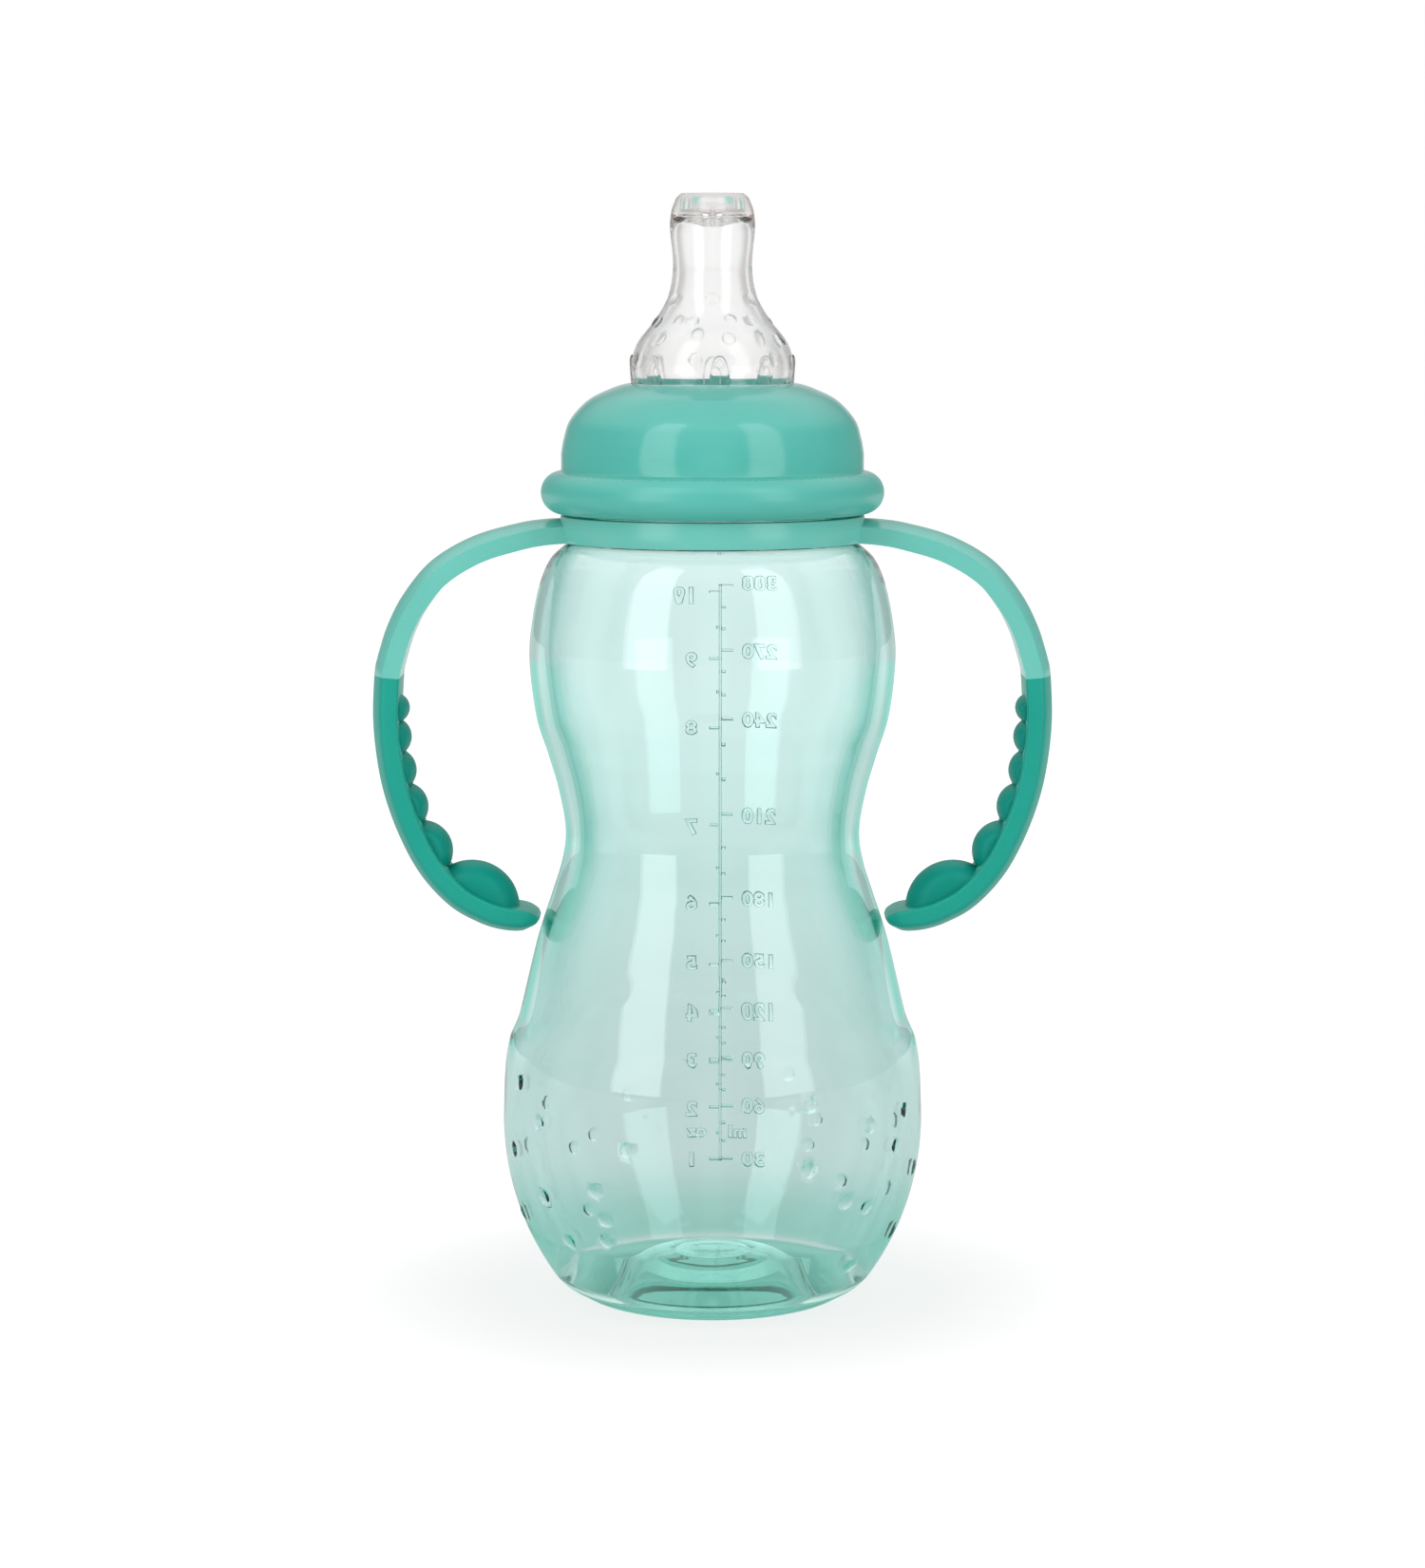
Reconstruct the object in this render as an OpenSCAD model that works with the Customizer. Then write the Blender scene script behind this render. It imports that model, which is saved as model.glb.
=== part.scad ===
// Baby bottle with a screw collar, a soft teat and a clip-in pair of handles.
// Millimetres. +Z is up, the bottle's axis is Z, and z = 0 is the surface that it stands on.
// The handles lie in the XZ plane, and the volume scale is at the back (+Y).

/* [Bottle] */
// Height of the bottle's rim
rim_z = 150.6; // [149.6:0.1:151.2]
// Radius of the flat foot ring's outer edge
foot_r = 20.4; // [19.8:0.1:21]
// Largest radius of the lower bulb
lower_r = 36.4; // [35.9:0.1:37]
// Height of the lower bulb's widest place
lower_z = 31.5; // [31:0.1:32]
// Radius of the waist
waist_r = 25.4; // [24.8:0.1:26]
// Height of the waist
waist_z = 81.9; // [81:0.1:83]
// Largest radius of the upper bulb
upper_r = 31.5; // [31:0.1:32]
// Height of the upper bulb's widest place
upper_z = 111.3; // [110.5:0.1:112]
// Height of the shoulder that carries the handle ring
shoulder_z = 131.2; // [131:0.1:131.4]
// Wall thickness of the body
wall = 1.7; // [1.4:0.1:2]

/* [Neck and thread] */
// Outer radius of the neck
neck_r = 22; // [21.9:0.05:22.05]
// Wall thickness of the neck
neck_wall = 2; // [1.8:0.1:2.4]
// Radius of the plain land that the handle ring turns on
land_r = 23.5; // [23.45:0.01:23.52]
// Pitch of the right-hand thread
pitch = 4; // [3.8:0.1:4.4]
// Number of thread turns on the neck
thread_turns = 2; // [1.5:0.25:2.25]
// Height of a thread ridge above its cylinder
thread_h = 1.2; // [1:0.05:1.25]
// Radial clearance between a ridge and the wall opposite
thread_gap = 0.25; // [0.2:0.05:0.3]

/* [Collar] */
// Radius of the plain seat for a hood
seat_r = 25.9; // [25.8:0.05:26.2]
// Largest radius of the rim bead
bead_r = 29.4; // [29:0.1:29.8]
// Height of the collar's lower edge
collar_z = 136.3; // [136.2:0.1:136.4]
// Height of the collar's highest place, round the teat hole
collar_top = 158.4; // [158:0.1:158.8]
// Radius of the teat hole
hole_r = 14; // [13.9:0.05:14.2]

/* [Teat] */
// Height of the teat's flat tip
tip_z = 190.5; // [189.5:0.1:191.5]
// Radius of the bulb below the tip
bulb_r = 7.25; // [7:0.05:7.5]
// Radius of the narrow part below the bulb
stem_r = 6.8; // [6.5:0.05:7]
// Radius of the dome above the collar
dome_r = 13.9; // [13.7:0.05:14.1]
// Radius of the teat where it passes the collar
teat_neck_r = 13.7; // [13.5:0.05:13.75]
// Wall thickness of the stem
teat_wall = 1; // [0.8:0.1:1.2]

/* [Handles] */
// Outer radius of the handle ring
ring_r = 26.1; // [25.8:0.1:26.4]
// Running clearance of the ring on its land, on the radius
ring_gap = 0.08; // [0.05:0.01:0.1]
// Height of the handle ring
ring_h = 4.2; // [4:0.1:4.4]
// Depth of a handle band from front to back
band_d = 13; // [11:0.5:14]
// Thickness of a band's flat sides
band_t = 2.9; // [2.6:0.1:3.2]
// Height of the crown on a band's outer face
band_crown = 1.9; // [1.5:0.1:2.1]
// Depth of the finger lobes from front to back
lobe_d = 10; // [8:0.5:11]
// Thickness of the soft grip over the hard core
skin = 0.9; // [0.7:0.1:1.1]

/* [Hidden] */
$fn = 96;
eps = 0.01;

// ---- curves -------------------------------------------------------------------------------------

// Smooth curve through the knots k, with n steps from each knot to the next.
function spline(k, n) = [
  for (i = [0:len(k) - 2]) for (s = [0:n - 1])
    let (a = k[max(i - 1, 0)], b = k[i], c = k[i + 1], d = k[min(i + 2, len(k) - 1)], t = s / n)
      (2 * b + (c - a) * t + (2 * a - 5 * b + 4 * c - d) * t * t
        + (3 * b - a - 3 * c + d) * t * t * t) / 2,
  k[len(k) - 1]
];

// Arc about [cr, cz] of radius r, from angle a0 to a1 in n steps.
function arc(cr, cz, r, a0, a1, n) = [
  for (i = [0:n]) let (t = a0 + (a1 - a0) * i / n) [cr + r * cos(t), cz + r * sin(t)]
];

// Unit normal of the point list p at point i, to the right of its direction.
function normal(p, i) =
  let (d = p[min(i + 1, len(p) - 1)] - p[max(i - 1, 0)]) [d[1], -d[0]] / norm(d);

function reversed(p) = [for (i = [len(p) - 1:-1:0]) p[i]];

// ---- bottle -------------------------------------------------------------------------------------

bulb_arc_r = 47;                       // side view radius of the lower bulb
bulb_arc_a = 37;                       // angle at which that arc runs into the foot
foot_in_r = 17.4;                      // inner edge of the foot ring
push_up = 6.4;                         // height of the hollow under the base
push_flat_r = 5.9;                     // flat disc at its middle
shoulder_r = 24.9;                     // outer edge of the flat shoulder
land_top = shoulder_z + 4.8;           // top of the ring's land
neck_in_r = neck_r - neck_wall;

lower_arc = arc(lower_r - bulb_arc_r, lower_z, bulb_arc_r, -bulb_arc_a, 0, 12);
foot_curve = spline([[foot_r, 0], [foot_r + 2.3, 0.7], lower_arc[0]], 3);
side_curve = spline([
  lower_arc[12],
  [lower_r - 0.35, lower_z + 8.5],     // the lower zone stands a little proud ...
  [lower_r - 1.2, lower_z + 13.7],
  [lower_r - 2.9, lower_z + 18.2],     // ... and steps back to the plain wall here
  [waist_r + 4.9, waist_z - 19],
  [waist_r + 2.3, waist_z - 10.9],
  [waist_r + 0.6, waist_z - 5.4],
  [waist_r, waist_z],
  [waist_r + 1.2, waist_z + 7],
  [waist_r + 3, waist_z + 13.2],
  [upper_r - 1.1, upper_z - 9.7],
  [upper_r, upper_z],
  [upper_r - 0.55, upper_z + 7],
  [upper_r - 1.9, upper_z + 13.2],
  [upper_r - 3.8, upper_z + 17.4],
  [shoulder_r, shoulder_z]
], 4);

// The outside, from the foot ring up to the shoulder
outside = concat(foot_curve, lower_arc, side_curve);
// The same curve moved inwards by the wall thickness, without the foot
inside = [for (i = [len(foot_curve) + 1:len(outside) - 3]) outside[i] - wall * normal(outside, i)];

under_curve = spline([
  [push_flat_r, push_up], [11.5, push_up - 1.5], [15.6, 2.2], [foot_in_r - 0.3, 0.3], [foot_in_r, 0]
], 4);
floor_curve = spline([
  [inside[0][0], inside[0][1]], [20.6, wall + 0.25], [18.2, wall + 0.5],
  [13.6, push_up - 0.3], [9.5, push_up + wall - 0.3], [push_flat_r - 0.8, push_up + wall]
], 5);

module bottle_solid() rotate_extrude() polygon(concat(
  [[0, push_up]], under_curve, outside,
  [[land_r, shoulder_z], [land_r, land_top - 0.4], [land_r - 0.4, land_top], [neck_r, land_top],
   [neck_r, rim_z - 0.4], [neck_r - 0.4, rim_z], [neck_in_r + 0.4, rim_z], [neck_in_r, rim_z - 0.4],
   [neck_in_r, shoulder_z + 1]],
  reversed(inside), floor_curve, [[0, push_up + wall]]
));

// ---- threads ------------------------------------------------------------------------------------

thread_step = 10;                      // degrees between two sections of a thread
thread_base = 2;                       // width of a ridge at its root
thread_crest = 1;                      // width of a ridge at its crest
thread_z = land_top + 3;               // height at which the neck's thread begins
fade = 40;                             // degrees over which a ridge rises to its full height
sink = 0.3;                            // depth of a ridge's root inside the wall

// A helical ridge on a cylinder of radius r, starting at height z, rising pitch a turn. side is 1 for
// a ridge outside the cylinder and -1 for one inside it.
module ridge(r, z, turns, side) {
  n = round(turns * 360 / thread_step);
  section = function (i)
    let (a = i * thread_step, full = min(1, min(a, n * thread_step - a) / fade + 0.15),
         tip = r + side * thread_h * full, root = r - side * sink, zc = z + pitch * a / 360)
      [for (q = [[root, -thread_base / 2], [tip, -thread_crest / 2],
                 [tip, thread_crest / 2], [root, thread_base / 2]])
        [q[0] * cos(a), q[0] * sin(a), zc + q[1]]];
  points = [for (i = [0:n]) each section(i)];
  quads = [for (i = [0:n - 1]) for (j = [0:3])
    let (k = (j + 1) % 4) [4 * i + j, 4 * i + k, 4 * i + 4 + k, 4 * i + 4 + j]];
  ends = [[3, 2, 1, 0], [4 * n, 4 * n + 1, 4 * n + 2, 4 * n + 3]];
  tris = [for (f = concat(quads, ends)) each [[f[0], f[1], f[2]], [f[0], f[2], f[3]]]];
  polyhedron(points, side > 0 ? tris : [for (t = tris) [t[2], t[1], t[0]]]);
}

module bottle_body() color([0.66, 0.9, 0.83, 0.5]) union() {
  bottle_solid();
  ridge(neck_r, thread_z, thread_turns, 1);
}

// ---- collar -------------------------------------------------------------------------------------

bore_r = neck_r + thread_h + thread_gap;       // root of the collar's own thread
crest_r = neck_r + thread_gap;                 // crest of the collar's own thread
flange_t = 1.8;                                // thickness of the teat's flange
roof_z = rim_z + flange_t + 0.05;              // seat that clamps the flange on the rim
seat_z = 143.5;                                // groove over the bead, and foot of the hood seat
seat_h = 3;                                    // height of the hood seat
bead_c = seat_r;                               // middle of the bead's round side
bead_rise = (seat_z - collar_z) / 2;           // half of the bead's height

dome_curve = spline([
  [seat_r, seat_z + seat_h], [seat_r - 0.5, 149.2], [seat_r - 1.6, 152.3], [21.2, 155.6],
  [17.2, 157.6], [hole_r + 0.5, collar_top], [hole_r, collar_top - 0.3]
], 4);
bead_side = [for (a = [-75:15:90])
  [bead_c + (bead_r - bead_c) * cos(a), collar_z + bead_rise * (1 + sin(a))]];

module screw_collar() color([0.4, 0.8, 0.73]) union() {
  rotate_extrude() polygon(concat(
    [[bore_r + 0.5, collar_z], [bead_c, collar_z]], bead_side, dome_curve,
    [[hole_r, 156.4], [19.2, roof_z + 0.2], [19.6, roof_z], [neck_r + 0.1, roof_z],
     [neck_r + 0.2, roof_z - 0.1], [neck_r + 0.2, rim_z - 1.2], [bore_r, rim_z - 2.4],
     [bore_r, collar_z + 0.5]]
  ));
  ridge(bore_r, thread_z + pitch / 2, 1.5, -1);
}

// ---- teat ---------------------------------------------------------------------------------------

flange_r = 21.9;                               // outer edge of the flange
flange_in_r = 18.8;                            // open foot of the teat
tip_recess_r = 3.9;                            // round recess in the flat tip
tip_recess_z = tip_z - 3;
cavity_z = tip_z - 5.4;                        // top of the hollow
feed_r = 0.4;                                  // feeding hole
stem_z = tip_z - 11.5;

teat_outside = spline([
  [flange_in_r + 0.4, rim_z + flange_t], [16.8, 154.2], [teat_neck_r, 156.7], [teat_neck_r, 158.8],
  [dome_r, 161.5], [12.8, 165.3], [9.7, 169.3], [7.6, 173.1], [stem_r, 177], [stem_r, stem_z + 1],
  [bulb_r, tip_z - 5.6], [bulb_r - 0.4, tip_z - 2.6], [5.6, tip_z]
], 4);
teat_inside = spline([
  [0.8 * bulb_r, cavity_z], [bulb_r - teat_wall, cavity_z - 1.6], [stem_r - teat_wall, stem_z - 0.5],
  [stem_r - teat_wall + 0.05, 176], [6.7, 172.4], [8.5, 169], [11.5, 164.8], [12.6, 161],
  [12.3, 157], [15.2, 153.4], [flange_in_r - 0.8, rim_z + 0.1], [flange_in_r, rim_z + 0.05]
], 4);

module teat() color([0.93, 0.93, 0.9, 0.6]) rotate_extrude() polygon(concat(
  [[feed_r, cavity_z]], teat_inside,
  [[flange_r - 0.3, rim_z + 0.05], [flange_r, rim_z + 0.35], [flange_r, rim_z + flange_t - 0.3],
   [flange_r - 0.3, rim_z + flange_t]],
  teat_outside,
  [[tip_recess_r + 0.3, tip_z], [tip_recess_r, tip_z - 0.3], [tip_recess_r, tip_recess_z],
   [feed_r, tip_recess_z]]
));

// ---- handles ------------------------------------------------------------------------------------

ring_z = shoulder_z + 0.3;                     // lower face of the handle ring
arm_steps = 3;                                 // sections between two knots of the arm
arm_foot = ring_r - 1.4;                       // where an arm starts inside the ring's wall
grip_knot = 9;                                 // knot at which the soft grip begins
core_knot = 17;                                // knot at which the hard core ends

// Inner face of the right arm in the XZ plane, from the ring to the tip
arm_path = spline([
  [arm_foot, ring_z - 0.05], [28.6, 131.1], [32.6, 130.3], [39.3, 128.2], [45.2, 124.6],
  [49.4, 119.8], [51.8, 115.4], [53.1, 111.8], [53.6, 110], [53.9, 108.3],
  [54.2, 101.5], [53.7, 95.1], [52.4, 88.9], [50, 82.4], [46.8, 76.6], [42.6, 72.1],
  [38.6, 69.8], [35.6, 68.8], [32.6, 68.2], [30.3, 67.4], [29.7, 66.6]
], arm_steps);
arm_end = len(arm_path) - 1;
nose_length = 4 * arm_steps;                   // sections over which the tip rounds off

// Share of the full section that is left at section i: 1 along the arm, rounding off at the tip
function nose(i) =
  let (u = max(0, (i - (arm_end - nose_length)) / nose_length)) sqrt(max(0.004, 1 - pow(u, 3)));
// Share of the full crown at section i: less of it where the arm passes under the collar
function crown(i) = min(1, 0.62 + 0.38 * i / (4 * arm_steps));

// One cross-section of the band, inset by t all round: [height over the inner face, depth] points
function band_section(i, t) =
  let (k = nose(i), d = (band_d / 2 - t) * k, low = t * 1.1, high = (band_t - t) * k,
       top = (band_crown - t * 0.2) * crown(i) * k, c = 0.4 * k)
    concat(
      [[low + c, -d], [low, c - d], [low, d - c], [low + c, d]],
      [for (s = [1:-1 / 3:-1.01]) [high + top * (1 - s * s), d * s]]
    );

// The band from section i0 to i1, inset by t, as one closed skin
module band(i0, i1, t) {
  m = len(band_section(0, 0));
  points = [for (i = [i0:i1]) for (q = band_section(i, t))
    let (n = -normal(arm_path, i)) [arm_path[i][0] + n[0] * q[0], q[1], arm_path[i][1] + n[1] * q[0]]];
  rows = i1 - i0;
  skin_faces = [for (i = [0:rows - 1]) for (j = [0:m - 1])
    let (k = (j + 1) % m, a = i * m + j, b = i * m + k, c = b + m, d = a + m)
      each [[a, c, b], [a, d, c]]];
  polyhedron(points, concat(skin_faces, [[for (j = [0:m - 1]) j]],
                            [[for (j = [m - 1:-1:0]) rows * m + j]]));
}

grip_i = grip_knot * arm_steps;
core_i = core_knot * arm_steps;

// Finger lobes on the grip's inner face: [x, z, radius]
lobes = [
  [54.7, 102.7, 2.4], [55.3, 97.7, 3.3], [54.9, 91.9, 3.7], [53.3, 85.6, 4.2], [50.2, 77.9, 5.3],
  [41.7, 68.4, 8.3]
];

module lobe_shapes() rotate([90, 0, 0]) linear_extrude(lobe_d, center = true) intersection() {
  for (b = lobes) translate([b[0], b[1]]) circle(b[2]);
  polygon(concat(
    [for (i = [grip_i:arm_end - nose_length / 2]) arm_path[i] - normal(arm_path, i) * band_t / 2],
    [[waist_r, 72], [waist_r, 108]]
  ));
}

module right_grip() color([0.13, 0.66, 0.58]) difference() {
  union() {
    band(grip_i, arm_end, 0);
    lobe_shapes();
  }
  band(grip_i - 2, core_i, skin);
}

module left_grip() mirror([1, 0, 0]) right_grip();

module arm() {
  band(0, grip_i, 0);
  band(grip_i - 2, core_i, skin);
}

module handle_frame() color([0.45, 0.83, 0.76]) union() {
  translate([0, 0, ring_z]) difference() {
    cylinder(r = ring_r, h = ring_h);
    translate([0, 0, -eps]) cylinder(r = land_r + ring_gap, h = ring_h + 2 * eps);
  }
  arm();
  mirror([1, 0, 0]) arm();
}

bottle_body();
screw_collar();
teat();
handle_frame();
left_grip();
right_grip();
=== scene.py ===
# %% [markdown]
# # A baby bottle with handles
# The bottle is a thin clear shell with a mint tint. A glossy collar screws down over its neck and clamps
# a silicone teat, and a ring under the collar carries two arched handles with soft finger grips. Every
# piece here is built in millimetres on the bottle's own axis, and it is turned into metres at the end.
# The CAD bodies give the sizes and the motion, so each piece stands exactly where its CAD node stands.

# %% The frame and its sizes
import math

import bmesh
import bpy
import numpy as np
from mathutils import Matrix, Vector


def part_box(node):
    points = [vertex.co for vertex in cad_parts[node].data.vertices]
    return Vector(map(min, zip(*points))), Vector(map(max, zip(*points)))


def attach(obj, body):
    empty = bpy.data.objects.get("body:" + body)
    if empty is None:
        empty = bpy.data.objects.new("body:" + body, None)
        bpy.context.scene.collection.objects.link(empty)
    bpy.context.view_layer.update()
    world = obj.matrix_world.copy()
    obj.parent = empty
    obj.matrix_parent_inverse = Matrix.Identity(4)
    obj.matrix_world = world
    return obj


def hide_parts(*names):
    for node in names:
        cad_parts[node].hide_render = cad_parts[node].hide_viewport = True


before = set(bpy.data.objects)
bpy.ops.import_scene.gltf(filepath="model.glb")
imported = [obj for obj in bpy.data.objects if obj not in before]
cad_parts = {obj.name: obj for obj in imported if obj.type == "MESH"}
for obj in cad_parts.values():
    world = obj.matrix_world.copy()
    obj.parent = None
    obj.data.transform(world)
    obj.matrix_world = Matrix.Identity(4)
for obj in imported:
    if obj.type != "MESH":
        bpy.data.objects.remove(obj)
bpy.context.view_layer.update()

MM = 0.001


def size(node):
    """Largest distance from the axis along X, lowest and highest place of a CAD node, in millimetres."""
    low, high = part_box(node)
    return high.x / MM, low.z / MM, high.z / MM


BULB_R, _, RIM_Z = size("bottle_body")
BEAD_R, COLLAR_Z, COLLAR_TOP = size("screw_collar")
FLANGE_R, FLANGE_Z, TIP_Z = size("teat")
print("bottle", BULB_R, RIM_Z, "collar", BEAD_R, COLLAR_Z, COLLAR_TOP, "teat", FLANGE_R, FLANGE_Z, TIP_Z)

# %% [markdown]
# ## The camera
# The camera stands a little above the middle of the bottle and looks slightly down, with a long lens, so
# that upright lines stay nearly parallel. It could be aimed with a Track To constraint, but a plain place
# and tilt say more: the tilt and the lens fix how round the foot and the collar look.

# %% Camera
CAMERA_PLACE = (0, -0.693, 0.174)
CAMERA_TILT = math.radians(90 - 6.95)
LENS = 92.81

camera = bpy.data.objects.new("camera", bpy.data.cameras.new("camera"))
camera.data.lens = LENS
camera.data.clip_start = 0.01
camera.location = CAMERA_PLACE
camera.rotation_euler = (CAMERA_TILT, 0, 0)
bpy.context.scene.collection.objects.link(camera)
bpy.context.scene.camera = camera
bpy.context.scene.view_settings.view_transform = "Standard"
print("camera at", CAMERA_PLACE, "lens", LENS)

# %% [markdown]
# ## Shader maths
# A node tree is easier to read as an expression than as a list of links. This class wraps one socket:
# + - and * add Math nodes, and node() adds anything else, its settings first and its sockets after.


# %% A socket that does maths
class Socket:
    """An output of a node, or a whole node tree when it has no output yet."""

    def __init__(self, tree, output=None):
        self.tree, self.output = tree, output

    def node(self, kind, settings=None, inputs=None, output=0):
        """Adds a node with these settings and these input values or links, and returns one output."""
        new = self.tree.nodes.new(kind)
        for key, value in (settings or {}).items():
            setattr(new, key, value)
        for key, value in (inputs or {}).items():
            if isinstance(value, Socket):
                self.tree.links.new(value.output, new.inputs[key])
            else:
                new.inputs[key].default_value = value
        return Socket(self.tree, new.outputs[output] if new.outputs else None)

    def maths(self, operation, other):
        return self.node("ShaderNodeMath", {"operation": operation}, {0: self, 1: other})

    def __add__(self, other):
        return self.maths("ADD", other)

    __radd__ = __add__

    def __sub__(self, other):
        return self.maths("SUBTRACT", other)

    def __rsub__(self, other):
        return self * -1 + other

    def __mul__(self, other):
        return self.maths("MULTIPLY", other)

    __rmul__ = __mul__

    def span(self, low, high, to_low=0.0, to_high=1.0):
        """This value, eased from low..high into to_low..to_high."""
        return self.node(
            "ShaderNodeMapRange",
            {"interpolation_type": "SMOOTHSTEP"},
            {"Value": self, "From Min": low, "From Max": high, "To Min": to_low, "To Max": to_high},
        )

    def blend(self, first, second):
        """first where this value is 0 and second where it is 1, as colours."""
        return self.node("ShaderNodeMix", {"data_type": "RGBA"}, {0: self, 6: first, 7: second}, 2)

    def mix_shaders(self, first, second):
        return self.node("ShaderNodeMixShader", {}, {0: self, 1: first, 2: second})


def tree_of(owner):
    """An empty node tree of a material or the world."""
    owner.use_nodes = True
    owner.node_tree.nodes.clear()
    return Socket(owner.node_tree)


def rgb(red, green, blue):
    """A display colour from 0 to 255 as the linear colour that a shader takes."""
    return (*(((c / 255 + 0.055) / 1.055) ** 2.4 if c > 10 else c / 3294.6 for c in (red, green, blue)), 1)


# %% [markdown]
# ## The studio
# The object stands on a white table in a white room. Clear plastic shows whatever lies behind and beside
# it. So behind the clear pieces the room has eight white panels with grey gaps between them, and mint
# gaps on the table: the middle of the bottle shows a panel, and its edges, where light bends away, show a
# gap and look deeper.
# Two tall softboxes in front, one each side, make the pairs of upright highlights. The ceiling is bright,
# the walls are dull for reflections, and the rest of the light is the even glow of the room. Light is
# followed through many bounces, as it runs along inside the thick edges of clear mouldings. Real panels
# could stand round the bottle, but each would have to be hidden from the camera and from the lamps. Light
# Path gives each kind of ray a room of its own instead, and the camera sees plain white.

# %% World
WHITE = (1, 1, 1, 1)
ROOM_LIGHT = 0.49
GREY_GAPS, MINT_GAPS = (0.6, 0.6, 0.6, 1), (0.35, 0.73, 0.65, 1)
PANELS = 8
FRONT_DIM = 0.65
WALLS, CEILING = 0.26, 1.5
END_GLOW = 0.4
# Where one part of the room gives way to the next: in the panels' wave, and in how far a direction points
# up, along the view either way, and to the back
GAP_EDGES = (-0.4, 0.9)
CEILING_EDGES = (0.2, 0.85)
END_EDGES = (0.9, 0.99)
FRONT_EDGES = (-0.4, 0.2)


def panels(east, north, gaps):
    """Colour of the surroundings in a direction from the bottle: white panels with gaps between them."""
    wave = (east.maths("ARCTAN2", north) * PANELS).maths("COSINE", 0)
    return wave.span(*GAP_EDGES).blend(gaps, WHITE)


world = bpy.data.worlds.new("room")
bpy.context.scene.world = world
room = tree_of(world)
camera_ray, glossy_ray, clear_ray = (
    room.node("ShaderNodeLightPath", {}, {}, name)
    for name in ("Is Camera Ray", "Is Glossy Ray", "Is Transmission Ray")
)
towards = room.node("ShaderNodeTexCoord", {}, {}, "Generated")
east, north, upward = (room.node("ShaderNodeSeparateXYZ", {}, {0: towards}, axis) for axis in "XYZ")
ends = north.maths("ABSOLUTE", 0).span(*END_EDGES, 0, END_GLOW)
around = upward.span(*CEILING_EDGES, WALLS, CEILING) + ends
mirrored_ray = glossy_ray * (1 - clear_ray)
other_ray = 1 - camera_ray - mirrored_ray - clear_ray
strength = (camera_ray + mirrored_ray * around + clear_ray * north.span(*FRONT_EDGES, FRONT_DIM, 1)
            + other_ray * ROOM_LIGHT)
colour = clear_ray.blend(WHITE, panels(east, north, GREY_GAPS))
glow = room.node("ShaderNodeBackground", {}, {"Color": colour, "Strength": strength})
room.node("ShaderNodeOutputWorld", {}, {"Surface": glow})
BOUNCES = 24
paths = bpy.context.scene.cycles
paths.max_bounces = paths.glossy_bounces = paths.transmission_bounces = BOUNCES
print("room light", ROOM_LIGHT, "bounces", BOUNCES)

# %% Softboxes
SOFTBOX_W, SOFTBOX_LOW, SOFTBOX_HIGH = 0.30, 0.05, 1.15
SOFTBOX_TURN = math.radians(42)
SOFTBOX_AWAY = 0.6
SOFTBOX_LEFT_POWER, SOFTBOX_RIGHT_POWER = 2.2, 1.9

for side, power, name in ((-1, SOFTBOX_LEFT_POWER, "softbox_left"),
                          (1, SOFTBOX_RIGHT_POWER, "softbox_right")):
    light = bpy.data.lights.new(name, "AREA")
    light.shape = "RECTANGLE"
    light.size = SOFTBOX_W
    light.size_y = SOFTBOX_HIGH - SOFTBOX_LOW
    light.energy = power
    lamp = bpy.data.objects.new(name, light)
    turn = side * SOFTBOX_TURN
    lamp.location = (
        SOFTBOX_AWAY * math.sin(turn), -SOFTBOX_AWAY * math.cos(turn), (SOFTBOX_LOW + SOFTBOX_HIGH) / 2,
    )
    lamp.rotation_euler = (math.pi / 2, 0, turn)
    lamp.visible_camera = False
    bpy.context.scene.collection.objects.link(lamp)
print("softboxes at", round(math.degrees(SOFTBOX_TURN)), "degrees each side")

# %% Table
TABLE_SIDE = 6.0
TABLE_WHITE = (0.8, 0.8, 0.8, 1)
TABLE_SHADE = (0.24, 0.24, 0.24, 1)
# Mint that rays other than the camera's see on the table near the bottle: a painted tinted shadow
MINT_PAINTED_SHADOW = (0.36, 0.74, 0.65, 1)
# Strength of the table's glow near the bottle and far from it, as the camera and as other rays see it.
# The lower glow near the bottle is a painted shadow round its base.
SEEN_GLOW, OTHER_GLOW = (0.74, 0.97), (0.56, 0.84)
# Where each look of the table fades into the next: metres from the bottle's axis
SEEN_FADE, OTHER_FADE = (0.03, 0.1), (0.04, 0.9)
MINT_SHADOW_FADE, PANEL_FADE, GREY_FADE = (0.03, 0.12), (0.15, 0.6), (0.95, 1.25)
FRONT_FADE = (-0.02, -0.12)
# The same for the turn away from straight behind, in radians
SIDE_FADE = (0.5, 0.7)

table_mesh = bmesh.new()
bmesh.ops.create_grid(table_mesh, x_segments=1, y_segments=1, size=TABLE_SIDE / 2)
table_data = bpy.data.meshes.new("table")
table_mesh.to_mesh(table_data)
table_mesh.free()
table = bpy.data.objects.new("table", table_data)
bpy.context.scene.collection.objects.link(table)
table_look = bpy.data.materials.new("table_white")
top = tree_of(table_look)
place = top.node("ShaderNodeTexCoord", {}, {}, "Object")
away = top.node("ShaderNodeVectorMath", {"operation": "LENGTH"}, {0: place}, "Value")
seen_straight, seen_clear = (
    top.node("ShaderNodeLightPath", {}, {}, name) for name in ("Is Camera Ray", "Is Transmission Ray")
)
east, north = (top.node("ShaderNodeSeparateXYZ", {}, {0: place}, axis) for axis in "XY")
in_front = seen_clear * north.span(*FRONT_FADE)
# Less glow near the bottle: a painted shadow round its base
other_glow = away.span(*OTHER_FADE, *OTHER_GLOW) * (1 - in_front * (1 - FRONT_DIM))
glow = seen_straight * away.span(*SEEN_FADE, *SEEN_GLOW) + (1 - seen_straight) * other_glow
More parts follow.
